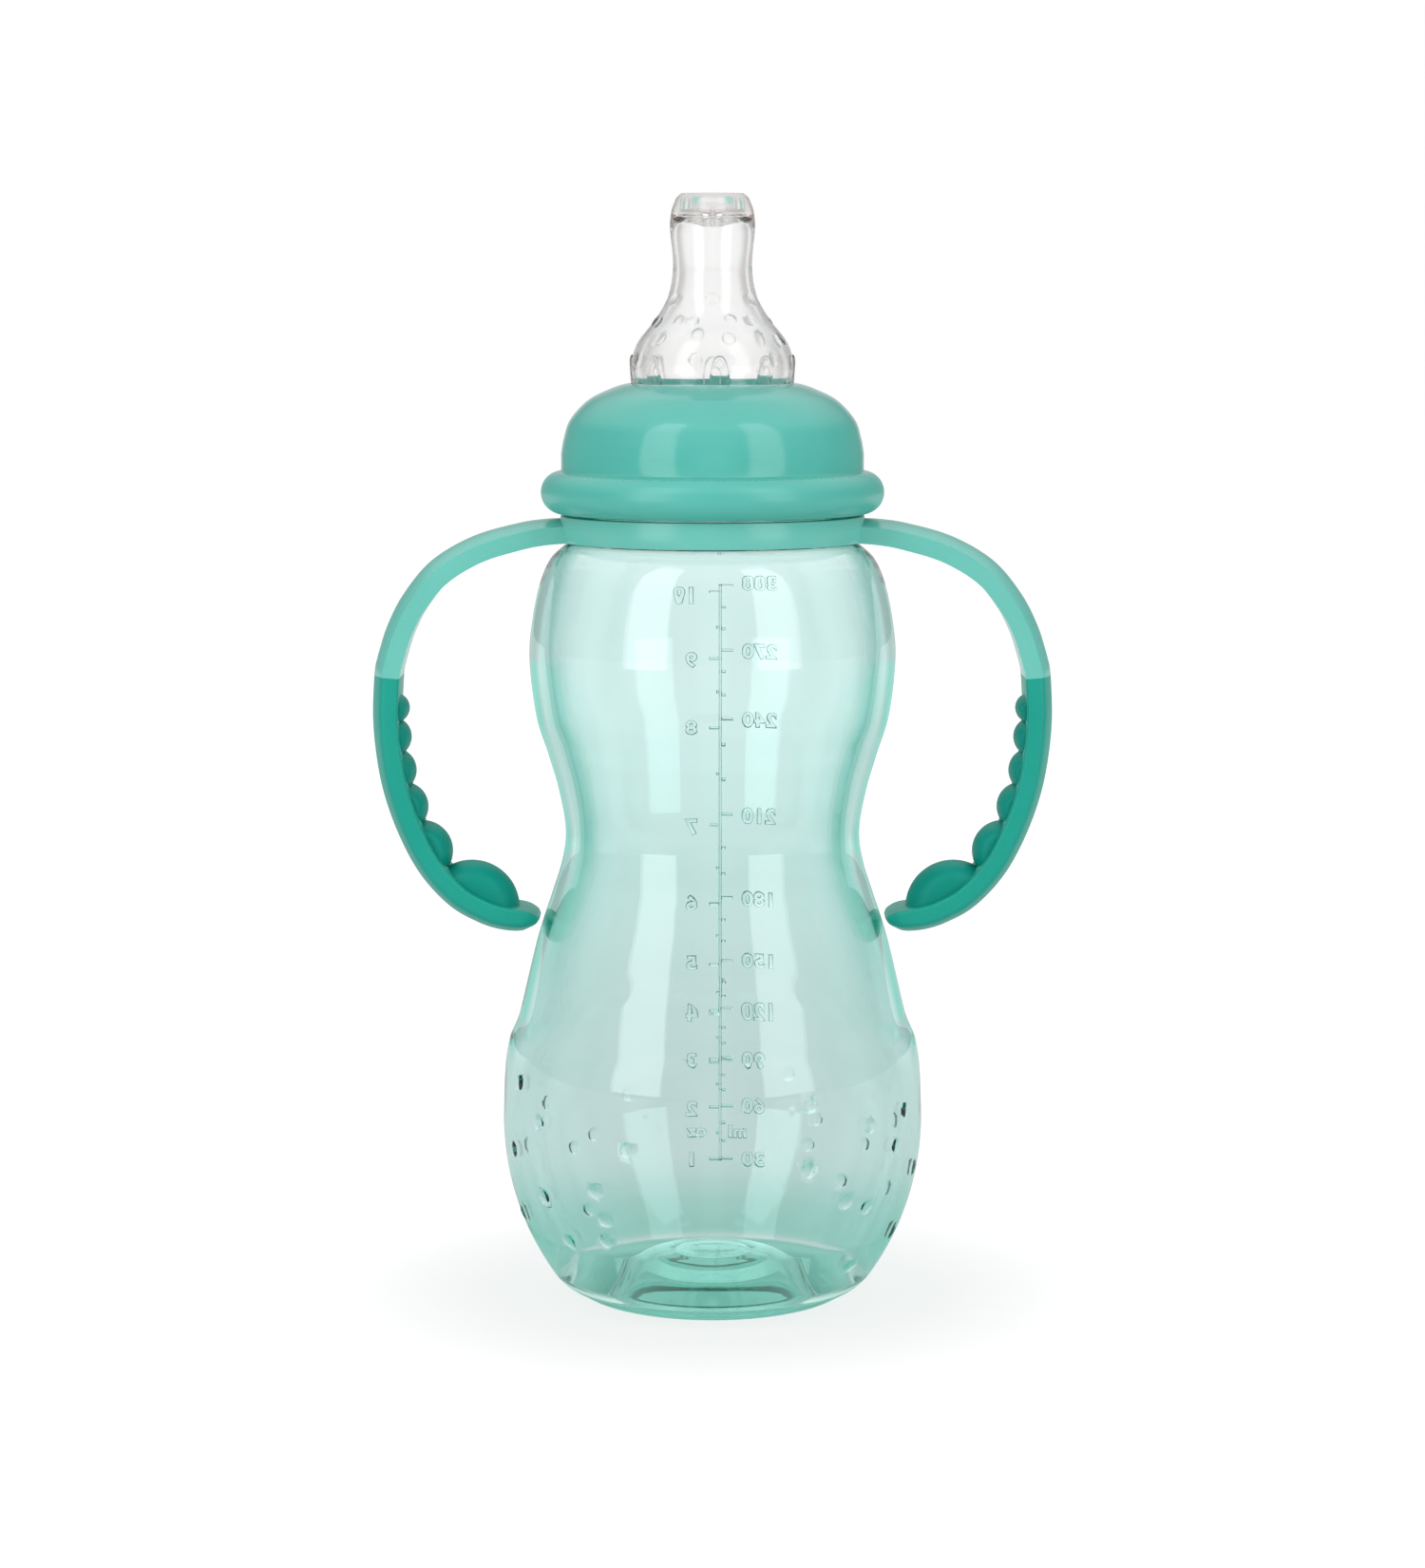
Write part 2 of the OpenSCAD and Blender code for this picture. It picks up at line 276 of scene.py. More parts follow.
sideways = east.maths("ARCTAN2", north).maths("ABSOLUTE", 0).span(*SIDE_FADE)
gaps = away.span(*GREY_FADE).maths("MAXIMUM", sideways).blend(MINT_GAPS, GREY_GAPS)
far_colour = away.span(*PANEL_FADE).blend(WHITE, panels(east, north, gaps))
# Near the bottle the table turns mint: the painted shadow of the tinted bottle
painted_shadow_colour = away.span(*MINT_SHADOW_FADE).blend(MINT_PAINTED_SHADOW, far_colour)
glow_colour = seen_straight.blend(painted_shadow_colour, WHITE)
paint = top.node("ShaderNodeBsdfDiffuse", {}, {"Color": TABLE_WHITE})
shade = top.node("ShaderNodeBsdfDiffuse", {}, {"Color": TABLE_SHADE})
lit = top.node("ShaderNodeEmission", {}, {"Color": glow_colour, "Strength": glow})
bright = top.node("ShaderNodeAddShader", {}, {0: shade, 1: lit})
diffuse_ray = top.node("ShaderNodeLightPath", {}, {}, "Is Diffuse Ray")
top.node("ShaderNodeOutputMaterial", {}, {"Surface": diffuse_ray.mix_shaders(bright, paint)})
table_data.materials.append(table_look)

# %% [markdown]
# ## Tools for turned and joined pieces
# Nearly every piece here is a turned shape: an outline in the XZ plane that spins about Z. The outlines
# are smooth curves through a few knots. A Screw modifier could turn them too, but the spin operator gives
# a mesh that can be bent and joined at once. A second tool joins solids with a boolean, which leaves one
# closed skin, so clear pieces refract as real mouldings do. Meshes are smoothed and scaled at the end.


# %% Curves and turned solids
def spline(knots, steps):
    """A smooth curve through the knots, with so many steps from each knot to the next."""
    k = [Vector(p) for p in knots]
    points = []
    for i in range(len(k) - 1):
        a, b, c, d = k[max(i - 1, 0)], k[i], k[i + 1], k[min(i + 2, len(k) - 1)]
        for s in range(steps):
            t = s / steps
            bend = (2 * a - 5 * b + 4 * c - d) * t * t + (3 * b - a - 3 * c + d) * t**3
            points.append((2 * b + (c - a) * t + bend) / 2)
    return points + [k[-1]]


def arc(centre, radii, start, end, steps):
    """An arc, or part of an ellipse, about centre, between two angles in degrees."""
    (x, z), (wide, high) = centre, radii
    angles = (math.radians(start + (end - start) * i / steps) for i in range(steps + 1))
    return [Vector((x + wide * math.cos(a), z + high * math.sin(a))) for a in angles]


def inset(points, depth):
    """The same curve moved by depth to the left of its direction."""
    moved = []
    for i, p in enumerate(points):
        along = points[min(i + 1, len(points) - 1)] - points[max(i - 1, 0)]
        moved.append(p + depth * Vector((-along.y, along.x)).normalized())
    return moved


def turned(outline, steps):
    """A bmesh of the outline of (radius, height) points, spun round Z into one closed skin."""
    bm = bmesh.new()
    verts = [bm.verts.new((p[0], 0, p[1])) for p in outline]
    edges = [bm.edges.new(pair) for pair in zip(verts, verts[1:])]
    bmesh.ops.spin(
        bm, geom=verts + edges, cent=(0, 0, 0), axis=(0, 0, 1), dvec=(0, 0, 0),
        angle=math.tau, steps=steps, use_merge=True,
    )
    bmesh.ops.remove_doubles(bm, verts=bm.verts, dist=1e-4)
    bmesh.ops.recalc_face_normals(bm, faces=bm.faces)
    return bm


# %% Joining solids
SHARP_ANGLE = 38


def as_object(name, bm):
    """An object that holds the bmesh, which it frees, with two empty material slots."""
    mesh = bpy.data.meshes.new(name)
    bm.to_mesh(mesh)
    bm.free()
    for _ in range(2):
        mesh.materials.append(None)
    obj = bpy.data.objects.new(name, mesh)
    bpy.context.scene.collection.objects.link(obj)
    return obj


def combine(obj, tool, operation="UNION"):
    """Joins another solid to obj, or cuts it with one, and removes that solid."""
    boolean = obj.modifiers.new("combine", "BOOLEAN")
    boolean.operation = operation
    boolean.solver = "MANIFOLD"
    boolean.material_mode = "INDEX"
    boolean.object = tool
    bpy.context.view_layer.update()
    mesh = bpy.data.meshes.new_from_object(obj.evaluated_get(bpy.context.evaluated_depsgraph_get()))
    obj.modifiers.clear()
    old, obj.data = obj.data, mesh
    bpy.data.meshes.remove(old)
    bpy.data.objects.remove(tool)
    return obj


def finish_piece(obj, body, nodes, looks):
    """Smooths a piece, turns it into metres, and hands it to its CAD body in place of its nodes."""
    obj.data.transform(Matrix.Scale(MM, 4))
    obj.data.shade_smooth()
    obj.data.set_sharp_from_angle(angle=math.radians(SHARP_ANGLE))
    for place, look in enumerate(looks):
        obj.data.materials[place] = look
    while len(obj.data.materials) > len(looks):
        obj.data.materials.pop()
    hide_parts(*nodes)
    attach(obj, body)
    print(obj.name, len(obj.data.polygons), "faces")


# %% A screw thread
THREAD_PITCH = 4.0
THREAD_H = 1.2
THREAD_SINK = 0.3
# Half the ridge's width at its foot and at its crest
THREAD_FOOT, THREAD_CREST = 1.0, 0.5
# The ridge's height runs out over this many degrees, down to this share of it
THREAD_FADE, THREAD_LEFT = 40, 0.1
# Steps of the spin in each turn
THREAD_STEPS = 90


def thread(radius, start_z, turns, side):
    """A right-hand helical ridge: outside a cylinder of that radius when side is 1, inside it when -1."""
    bm = bmesh.new()
    section = [(-THREAD_SINK, -THREAD_FOOT), (THREAD_H, -THREAD_CREST), (THREAD_H, THREAD_CREST),
               (-THREAD_SINK, THREAD_FOOT)]
    first = bm.faces.new([bm.verts.new((radius + side * out, 0, start_z + up)) for out, up in section])
    bmesh.ops.spin(
        bm, geom=list(first.verts) + list(first.edges) + [first], cent=(0, 0, 0), axis=(0, 0, 1),
        dvec=(0, 0, THREAD_PITCH / THREAD_STEPS), angle=math.tau * turns,
        steps=round(THREAD_STEPS * turns), use_merge=False,
    )
    for v in bm.verts:
        out = side * (math.hypot(v.co.x, v.co.y) - radius)
        climbed = 360 * (v.co.z - start_z) / THREAD_PITCH
        left = min(climbed, 360 * turns - climbed) / THREAD_FADE
        if out > 0:
            share = max(THREAD_LEFT, min(1, left))
            v.co.xy *= (radius + side * out * share) / (radius + side * out)
    bmesh.ops.holes_fill(bm, edges=[e for e in bm.edges if e.is_boundary])
    bmesh.ops.recalc_face_normals(bm, faces=bm.faces)
    return bm


# %% [markdown]
# ## The bottle's shape
# The body is an hourglass: a lower bulb, a waist and an upper bulb. The wall of the lower bulb stands
# slightly proud up to a soft step that waves round the bottle, higher in front than at the back. One
# function gives the radius of the outside at any angle and height, and the shell, the raised scale and
# the round bumps all use it, so everything sits on the same wall. A subdivided cage could be pushed into
# this shape as well, but the marks would then have to be fitted to it.

# %% Outside of the bottle
WALL = 1.7
PROUD = 0.4
BULB_Z = 31.5
BULB_ARC = 47.0
FOOT_R = 20.4
WAIST_R, WAIST_Z = 25.4, 81.9
UPPER_R, UPPER_Z = 31.5, 111.3
SHOULDER_R, SHOULDER_Z = 24.9, 131.2
bulb_centre = (BULB_R - BULB_ARC, BULB_Z)

proud_arc = arc(bulb_centre, (BULB_ARC, BULB_ARC), -37, 0, 40)
upper_knots = [
    (WAIST_R + 4.9, WAIST_Z - 19), (WAIST_R + 2.3, WAIST_Z - 10.9), (WAIST_R + 0.6, WAIST_Z - 5.4),
    (WAIST_R, WAIST_Z), (WAIST_R + 1.2, WAIST_Z + 7), (WAIST_R + 3, WAIST_Z + 13.2),
    (UPPER_R - 1.1, UPPER_Z - 9.7), (UPPER_R, UPPER_Z), (UPPER_R - 0.55, UPPER_Z + 7),
    (UPPER_R - 1.9, UPPER_Z + 13.2), (UPPER_R - 3.8, UPPER_Z + 17.4), (SHOULDER_R, SHOULDER_Z),
]
plain_knots = [(BULB_R - PROUD, BULB_Z), (BULB_R - PROUD - 0.33, BULB_Z + 8.5),
               (BULB_R - PROUD - 1.1, BULB_Z + 13.7), (BULB_R - 2.9, BULB_Z + 18.2)]
plain_curve = [p - Vector((PROUD, 0)) for p in proud_arc[:-1]] + spline(plain_knots + upper_knots, 12)
plain_r, plain_z = np.array([tuple(p) for p in plain_curve]).T

# %% The wave of the step
WAVE_KNOTS = [(0, 57.6), (25, 58.3), (40, 54.4), (55, 48.8), (72, 46.4), (90, 47.3), (106, 41.5),
              (122, 35.8), (145, 36.6), (180, 36)]
STEP_W = 2.6
wave_angle, wave_z = np.array([tuple(p) for p in spline(WAVE_KNOTS, 8)]).T


def wave(angle):
    """Height of the step at an angle in degrees from the front."""
    return float(np.interp(abs((angle + 180) % 360 - 180), wave_angle, wave_z))


def wall_r(angle, z):
    """Radius of the bottle's outside at that angle from the front, in degrees, and height."""
    below = min(1, max(0, (wave(angle) + STEP_W - z) / (2 * STEP_W)))
    return float(np.interp(z, plain_z, plain_r)) + PROUD * below * below * (3 - 2 * below)


print("waist", round(wall_r(0, WAIST_Z), 2), "bulb", round(wall_r(0, BULB_Z), 2))

# %% [markdown]
# ## The shell
# The whole skin is one outline from the middle of the base's underside, up the outside, over the rim and
# down the inside. It is spun once. Then the rows of the wall are bent to follow the wave, so that the
# step runs along them instead of jumping from row to row. Blown plastic keeps its thickness over such a
# step, so the inside follows too. Light that passes a curved clear wall goes straight on only where both
# sides have the same slope, so the inside of the shoulder is a little lower than an even wall would be.

# %% Outline of the shell
NECK_R, NECK_IN_R = 22.0, 20.0
LAND_R, LAND_Z = 23.5, SHOULDER_Z + 4.8
PUSH_UP, PUSH_FLAT = 6.4, 5.9
SHELL_STEPS = 174
STEP_MID = 47.3
FIRST_ROW_Z = 4
INSIDE_LOW_Z, INSIDE_HIGH_Z = 9, 123.2

under = spline([(PUSH_FLAT, PUSH_UP), (11.5, PUSH_UP - 1.5), (15.6, 2.2), (17.1, 0.3), (17.4, 0)], 6)
foot = spline([(FOOT_R, 0), (FOOT_R + 2.3, 0.7), proud_arc[0]], 5)
rows = [
    *np.linspace(FIRST_ROW_Z, 43, 48), *np.linspace(43.6, 51, 20), *np.linspace(51.7, SHOULDER_Z, 105),
]
outside = [Vector((float(np.interp(z, plain_z, plain_r)), float(z))) for z in rows]
neck = [
    (LAND_R, SHOULDER_Z), (LAND_R, LAND_Z - 0.4), (LAND_R - 0.4, LAND_Z), (NECK_R, LAND_Z),
    (NECK_R, RIM_Z - 0.5), (NECK_R - 0.2, RIM_Z - 0.1), (NECK_R - 0.5, RIM_Z),
    (NECK_IN_R + 0.5, RIM_Z), (NECK_IN_R + 0.2, RIM_Z - 0.1), (NECK_IN_R, RIM_Z - 0.5),
]
inset_r, inset_z = np.array([tuple(p) for p in inset(plain_curve, WALL)]).T
inside_rows = [z for z in rows if INSIDE_LOW_Z < z < INSIDE_HIGH_Z]
inside = [Vector((float(np.interp(z, inset_z, inset_r)), float(z))) for z in inside_rows]
neck_inside = spline([
    (NECK_IN_R, LAND_Z), (NECK_IN_R + 0.3, LAND_Z - 1.2), (NECK_IN_R + 1.4, SHOULDER_Z + 1.6),
    (SHOULDER_R - 1.43, SHOULDER_Z - 0.58), (SHOULDER_R - 0.3, SHOULDER_Z - 1.45),
    (SHOULDER_R + 0.74, SHOULDER_Z - 2.38), (SHOULDER_R + 1.69, SHOULDER_Z - 3.68),
    (SHOULDER_R + 2.35, SHOULDER_Z - 5.06), (SHOULDER_R + 2.87, SHOULDER_Z - 6.46), inside[-1], inside[-2],
], 6)
floor_in = spline([
    inside[4], inside[0], (26.6 - PROUD, 4.6), (25.6 - PROUD, 2.9), (23.6, 2), (20.4, WALL),
    (19.2, WALL), (18.2, WALL + 0.4), (16.7, 3.5), (12.2, 6.45), (8.6, PUSH_UP + WALL - 0.6),
    (PUSH_FLAT - 0.8, PUSH_UP + WALL),
], 5)
inner = neck_inside + inside[-3:4:-1] + floor_in
print("inside wall from", inside[0][:], "to", inside[-1][:])

# %% Spun shell
WAVE_REACH = 26.0
# Which points are on the wall: this close to its outside, or at least this deep under it
ON_OUTSIDE, UNDER_OUTSIDE = 0.01, 0.5
# The inside follows between these heights and beyond this radius
FOLLOW_LOW_Z, FOLLOW_HIGH_Z, FOLLOW_R = 2, 123, 22
THREAD_Z, NECK_TURNS = LAND_Z + 3, 2


def follow_wave(bm):
    """Bends the rows of the wall to the wave: the outside onto the wall, the inside along with it."""
    for v in bm.verts:
        r, z = math.hypot(v.co.x, v.co.y), v.co.z
        plain = np.interp(z, plain_z, plain_r)
        outer = FIRST_ROW_Z <= z <= SHOULDER_Z and r > plain - ON_OUTSIDE
        inner_wall = FOLLOW_LOW_Z < z < FOLLOW_HIGH_Z and FOLLOW_R < r < plain - UNDER_OUTSIDE
        if not outer and not inner_wall:
            continue
        angle = math.degrees(math.atan2(v.co.x, -v.co.y))
        near = max(0.0, 1 - abs(z - STEP_MID) / WAVE_REACH)
        new_z = z + (wave(angle) - STEP_MID) * math.sin(near * math.pi / 2) ** 2
        new_r = wall_r(angle, new_z)
        if not outer:
            moved = np.interp(new_z, inset_z, inset_r) - np.interp(z, inset_z, inset_r)
            new_r = r + moved + (new_r - np.interp(new_z, plain_z, plain_r)) * min(1, z - FOLLOW_LOW_Z)
        v.co = Vector((v.co.x / r, v.co.y / r, 0)) * float(new_r) + Vector((0, 0, new_z))


shell_outline = [(0, PUSH_UP)] + under + foot[:-1] + outside + neck + inner + [(0, PUSH_UP + WALL)]
shell_bm = turned(shell_outline, SHELL_STEPS)
follow_wave(shell_bm)
bottle = as_object("bottle_shell", shell_bm)
combine(bottle, as_object("neck_thread", thread(NECK_R, THREAD_Z, NECK_TURNS, 1)))

# %% [markdown]
# ## The volume scale
# The scale is moulded on the back wall and reads from there, so through the front it looks mirrored. Each
# mark stands at the height to which the bottle holds that volume. Ounces are on one side of an upright
# line and millilitres on the other. Marks and numerals are drawn flat, and then wrapped on the wall. A
# Shrinkwrap modifier could lay them there, but one function for every point keeps their depth even.

# %% Heights of the marks
OUNCE = 29.57
FULL_ML, FULL_OZ = 300, 10
ML_MARK, ML_TICK = 30, 10
CUBIC_MM = 1000
# Share of the plain inside volume that counts. It is fitted, so that the marks stand as high as real ones
FILL_SHARE = 0.926


def fill_height(ml):
    """Height to which the bottle holds that volume."""
    points = [Vector((0, PUSH_UP + WALL))] + [Vector(p) for p in reversed(inner)]
    held = 0.0
    for a, b in zip(points, points[1:]):
        more = math.pi / (3 * CUBIC_MM) * (b.y - a.y) * (a.x**2 + a.x * b.x + b.x**2) * FILL_SHARE
        if held + more >= ml:
            return a.y + (b.y - a.y) * (ml - held) / more
        held += more


print("full mark at", round(fill_height(FULL_ML), 1), "first at", round(fill_height(ML_MARK), 1))

# %% Marks and numerals
RAISED, SUNK, SLOPE = 0.4, 0.3, 0.28
LINE_W = 0.8
LINE_U = -1.45
# Height of the numerals and of the unit names, and how wide, thin and far apart their strokes are
DIGIT_H, UNIT_H = 2.6, 2.1
DIGIT_STRETCH, DIGIT_THIN, DIGIT_GAP = 1.18, 0.09, 1.08
FONT_SHARE = 0.73
LONG_ML, SHORT_ML, LONG_OZ, SHORT_OZ = 2.5, 1.1, 2.2, 0.9
# How near the ticks start to the line's middle, and how far the line ends below its last tick's top
TICK_ROOT, LINE_SHORT = 0.05, 0.01


def bar(bm, u0, u1, v0, v1):
    """Adds a bar with sloping sides between those places to the right (u) and up (v)."""
    made = bmesh.ops.create_cube(bm, size=1)["verts"]
    for v in made:
        narrow = SLOPE if v.co.z > 0 else 0
        wide, high = u1 - u0 - 2 * narrow, v1 - v0 - 2 * narrow
        v.co = (v.co.x * wide, v.co.y * high, v.co.z * (RAISED + SUNK))
    bmesh.ops.translate(bm, vec=((u0 + u1) / 2, (v0 + v1) / 2, (RAISED - SUNK) / 2), verts=made)


def label(bm, words, u, v, align, height=DIGIT_H):
    """Adds raised lettering, aligned left or right at u and centred at v."""
    text = bpy.data.curves.new("label", "FONT")
    text.body = words
    text.align_x = align
    text.extrude = (RAISED + SUNK) / 2 - SLOPE
    text.bevel_depth = SLOPE
    text.bevel_resolution = 1
    text.resolution_u = 4
    text.offset = -DIGIT_THIN
    text.space_character = DIGIT_GAP
    text.size = height / FONT_SHARE
    holder = bpy.data.objects.new("label", text)
    mesh = bpy.data.meshes.new_from_object(holder)
    middle = sum(v.co.y for v in mesh.vertices) / len(mesh.vertices)
    mesh.transform(Matrix.Translation((u, v - middle, (RAISED - SUNK) / 2))
                   @ Matrix.Diagonal((DIGIT_STRETCH, 1, 1, 1)))
    bm.from_mesh(mesh)
    bpy.data.objects.remove(holder)
    bpy.data.meshes.remove(mesh)


def marks():
    """The line with its ticks, as one flat solid."""
    line, ticks = bmesh.new(), bmesh.new()
    bar(line, LINE_U - LINE_W / 2, LINE_U + LINE_W / 2, fill_height(OUNCE) - LINE_W / 2,
        fill_height(FULL_ML) + LINE_W / 2 - LINE_SHORT)
    for ml in range(ML_MARK, FULL_ML + 1, ML_TICK):
        v = fill_height(ml)
        length = LONG_ML if ml % ML_MARK == 0 else SHORT_ML
        bar(ticks, LINE_U - length, LINE_U - TICK_ROOT, v - LINE_W / 2, v + LINE_W / 2)
    for half in range(2, 2 * FULL_OZ + 1):
        v = fill_height(OUNCE * half / 2)
        length = LONG_OZ if half % 2 == 0 else SHORT_OZ
        bar(ticks, LINE_U + TICK_ROOT, LINE_U + length, v - LINE_W / 2, v + LINE_W / 2)
    return combine(as_object("scale_line", line), as_object("scale_ticks", ticks))


# %% Scale on the wall
ML_U, OZ_U = -5.6, 2.9
UNIT_ML_U, UNIT_OZ_U = -3.0, 1.2
# The unit names stand at one and a half times the first mark's volume
UNIT_AT = 1.5
# The line is cut across at these heights, so that it can bend with the wall
CUTS = range(18, 121, 2)


def wrap(bm):
    """Lays flat work with u right, v up and w out on the back wall, as a reader behind sees it."""
    for v in bm.verts:
        u, z, out = v.co
        local = wall_r(180, z)
        turn = u / local
        r = wall_r(180 - math.degrees(turn), z) + out
        v.co = (-r * math.sin(turn), r * math.cos(turn), z)


scale_bm = bmesh.new()
flat_marks = marks()
scale_bm.from_mesh(flat_marks.data)
bpy.data.objects.remove(flat_marks)
for height in CUTS:
    whole = list(scale_bm.verts) + list(scale_bm.edges) + list(scale_bm.faces)
    bmesh.ops.bisect_plane(scale_bm, geom=whole, dist=1e-5, plane_co=(0, height, 0), plane_no=(0, 1, 0))
for ml in range(ML_MARK, FULL_ML + 1, ML_MARK):
    label(scale_bm, str(ml), ML_U, fill_height(ml), "RIGHT")
for ounces in range(1, FULL_OZ + 1):
    label(scale_bm, str(ounces), OZ_U, fill_height(ounces * OUNCE), "LEFT")
label(scale_bm, "ml", UNIT_ML_U, fill_height(UNIT_AT * ML_MARK), "RIGHT", UNIT_H)
label(scale_bm, "oz", UNIT_OZ_U, fill_height(UNIT_AT * OUNCE), "LEFT", UNIT_H)
bmesh.ops.remove_doubles(scale_bm, verts=scale_bm.verts, dist=1e-4)
wrap(scale_bm)
bmesh.ops.recalc_face_normals(scale_bm, faces=scale_bm.faces)
print("scale", len(scale_bm.faces), "faces, open edges", sum(not e.is_manifold for e in scale_bm.edges))
combine(bottle, as_object("scale", scale_bm))

# %% [markdown]
# ## Bumps on the lower bulb
# Low round bumps are scattered over the lower bulb, except where the scale is. Each is the top of a
# flattened ball sunk in the wall, so it meets the wall at a gentle slope and works as a small lens. A
# bump in the material could shade them, but it would bend no outline and wouldn't be in the mesh. The
# back half carries the lower ones again, half a turn on.

# %% Bumps
BUMP_R, BUMP_H = 1.35, 0.28
BACK_BELOW_Z = 33
# A ball's half height and the depth of its middle, in bump heights, and its radius share at the wall
BALL_TALL, BALL_SUNK, BALL_SHARE = 2.5, 1.5, 0.8
FRONT_BUMPS = [
    (-54, 34.5), (-23, 32.3), (-54, 21.6), (-33, 24.5), (-31, 19.6), (-32, 15.7),
    (-47, 14.3), (27, 39.6), (47, 34.6), (26, 28.6), (48, 20.4), (39, 22.2), (59, 29.9), (65, 35.4),
    (49, 9.4), (-70, 28), (-66, 40), (-76, 16), (76, 24), (72, 13),
]


def puffed(radius, rim, depth):
    """A disc about Z that is flat on both faces and fully rounded at its rim, as a closed bmesh."""
    side = arc((radius - rim, 0), (rim, depth / 2), -90, 90, 16)
    return turned([(0, -depth / 2)] + side + [(0, depth / 2)], 64)


def lens(bm, angle, z, radius, height, on_wall):
    """Adds a low round bump at that angle and height: the top of a flattened ball sunk in the wall."""
    turn = math.radians(angle)
    slope = on_wall(angle, z + 0.5) - on_wall(angle, z - 0.5)
    out = Vector((math.sin(turn), -math.cos(turn), -slope)).normalized()
    middle = Vector((math.sin(turn), -math.cos(turn), 0)) * on_wall(angle, z) + Vector((0, 0, z))
    place = Matrix.Translation(middle - out * height * BALL_SUNK)
    shape = Matrix.Diagonal((radius / BALL_SHARE, radius / BALL_SHARE, height * BALL_TALL, 1))
    bmesh.ops.create_uvsphere(
        bm, u_segments=24, v_segments=16, radius=1,
        matrix=place @ out.to_track_quat("Z", "Y").to_matrix().to_4x4() @ shape,
    )


bumps = bmesh.new()
for angle, z in FRONT_BUMPS:
    lens(bumps, angle, z, BUMP_R, BUMP_H, wall_r)
    if z < BACK_BELOW_Z:
        lens(bumps, angle + 180, z, BUMP_R, BUMP_H, wall_r)
combine(bottle, as_object("bumps", bumps))
print("bottle faces", len(bottle.data.polygons))

# %% [markdown]
# ## Clear tinted plastic
# A clear moulding takes its colour from its thickness: two walls seen face on look pale, and the edges,
# where light runs along the wall, look deep. A tinted surface could colour it, but then the edges would
# stay pale. So the tint is absorbed in the volume. The surface adds painted shade in a few places only:
# a deep painted shade on the steep sides of the raised marks, which darkens their edges, and a faint
# painted shade at the waist, the base and its dome. Lamps shine through it: for shadow rays the surface
# is simply transparent.

# %% Clear finish
SHADOW_TINT = (0.93, 0.93, 0.93, 1)
# Most of a noise texture's values lie between these
NOISE_RANGE = (0.3, 0.7)


def clear_look(name, ior, tint, density, rough, wavy, colour=None):
    """A clear moulding whose tint is absorbed by the metre, with roughness and waviness that vary."""
    look = bpy.data.materials.new(name)
    g = tree_of(look)
    place = g.node("ShaderNodeTexCoord", {}, {}, "Object")
    fine = g.node("ShaderNodeTexNoise", {}, {"Vector": place, "Scale": 900.0, "Detail": 3.0})
    broad = g.node("ShaderNodeTexNoise", {}, {"Vector": place, "Scale": 55.0, "Detail": 1.0})
    bump = g.node("ShaderNodeBump", {}, {"Height": broad, "Strength": 1.0, "Distance": wavy})
    surface = g.node("ShaderNodeBsdfPrincipled", {}, {
        "Base Color": colour(g, place) if colour else WHITE, "Transmission Weight": 1.0, "IOR": ior,
        "Roughness": fine.span(*NOISE_RANGE, rough * 0.6, rough * 1.4), "Normal": bump,
    })
    clear = g.node("ShaderNodeBsdfTransparent", {}, {"Color": SHADOW_TINT})
    shadow = g.node("ShaderNodeLightPath", {}, {}, "Is Shadow Ray")
    volume = g.node("ShaderNodeVolumeAbsorption", {}, {"Color": tint, "Density": density})
    through = shadow.mix_shaders(surface, clear)
    g.node("ShaderNodeOutputMaterial", {}, {"Surface": through, "Volume": volume})
    return look


# %% Bottle finish
# Painted shade on the bottle's surface: deep mint on the marks' steep sides, faint mint at the waist, base
# and dome
MARK_PAINTED_SHADE, WAIST_PAINTED_SHADE = rgb(58, 128, 116), (0.955, 0.98, 0.975, 1)
BASE_PAINTED_SHADE, DOME_PAINTED_SHADE = (0.9, 0.97, 0.95, 1), (0.82, 0.93, 0.905, 1)
# Where each painted shade fades in, in metres: heights, and for the dome a distance from the axis
WALL_FOOT_FADE, WALL_TOP_FADE = (0.010, 0.012), (0.127, 0.125)
WAIST_LOW_FADE, WAIST_HIGH_FADE = (0.056, 0.078), (0.110, 0.088)
BASE_FADE, DOME_FADE = (0.012, 0.009), (0.0178, 0.0168)
# How far the normal points straight out where a surface starts to count as steep, and where it fully does
STEEP_FADE = (0.8, 0.6)


def bottle_colour(g, place):
    """Painted shade on the surface: deep on the sides of raised marks, faint at the waist, base and dome.
    """
    normal = g.node("ShaderNodeTexCoord", {}, {}, "Normal")
    across = g.node("ShaderNodeVectorMath", {"operation": "MULTIPLY"}, {0: place, 1: (1, 1, 0)})
    outward = g.node("ShaderNodeVectorMath", {"operation": "NORMALIZE"}, {0: across})
    facing = g.node("ShaderNodeVectorMath", {"operation": "DOT_PRODUCT"}, {0: normal, 1: outward}, "Value")
    height = g.node("ShaderNodeSeparateXYZ", {}, {0: place}, "Z")
    on_wall = height.span(*WALL_FOOT_FADE) * height.span(*WALL_TOP_FADE)
    steep = facing.maths("ABSOLUTE", 0).span(*STEEP_FADE) * on_wall
    waist = height.span(*WAIST_LOW_FADE) * height.span(*WAIST_HIGH_FADE)
    low = height.span(*BASE_FADE)
    reach = g.node("ShaderNodeVectorMath", {"operation": "LENGTH"}, {0: across}, "Value")
    in_dome = low * reach.span(*DOME_FADE)
    faint_shade = in_dome.blend(low.blend(waist.blend(WHITE, WAIST_PAINTED_SHADE), BASE_PAINTED_SHADE), DOME_PAINTED_SHADE)
    return steep.blend(faint_shade, MARK_PAINTED_SHADE)


bottle_look = clear_look(
    "clear_mint", ior=1.5, tint=(0.0, 0.86, 0.75, 1), density=93.0, rough=0.015, wavy=0.00004,
    colour=bottle_colour,
)
finish_piece(bottle, "bottle", ["bottle_body"], [bottle_look])

